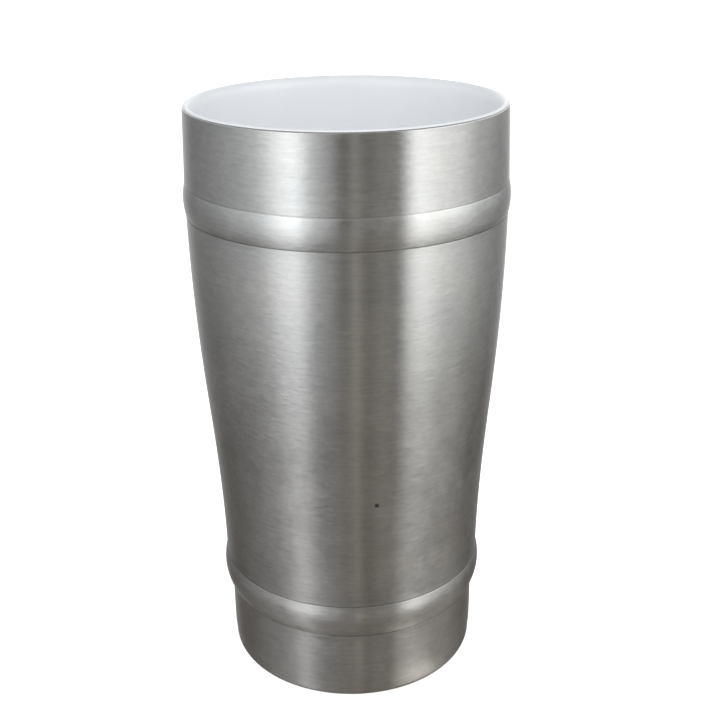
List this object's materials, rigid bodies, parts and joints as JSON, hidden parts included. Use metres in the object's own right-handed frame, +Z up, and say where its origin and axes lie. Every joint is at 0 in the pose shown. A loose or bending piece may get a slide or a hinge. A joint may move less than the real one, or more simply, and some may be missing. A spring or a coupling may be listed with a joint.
{
  "type": "double-wall tumbler",
  "caption": "Open-topped keg-shaped drinking tumbler: brushed steel outer shell with raised hoops around a white plastic liner, air between the walls.",
  "frame": {"origin": "centre of the circle that the tumbler stands on, at floor level", "axes": "+Z up along the tumbler's axis, from the foot to the lip; it is turned, so X and Y are any two directions across it"},
  "size_m": [0.0902, 0.0902, 0.1685],
  "materials": {
    "shell_steel": "brushed round the axis",
    "liner_white": "smooth moulded, soft gloss",
    "seal_rubber": "matt silicone",
    "gasket_rubber": "matt",
    "plate_steel": "pressed and turned",
    "ring_plastic": "moulded, uncoloured",
    "pad_foam": "closed-cell foam"
  },
  "bodies": {
    "root": {"outer_shell": "shell_steel", "inner_liner": "liner_white", "rim_seal": "seal_rubber", "base_gasket": "gasket_rubber", "base_plate": "plate_steel", "centring_ring": "ring_plastic", "support_pad": "pad_foam"}
  },
  "joints": []
}
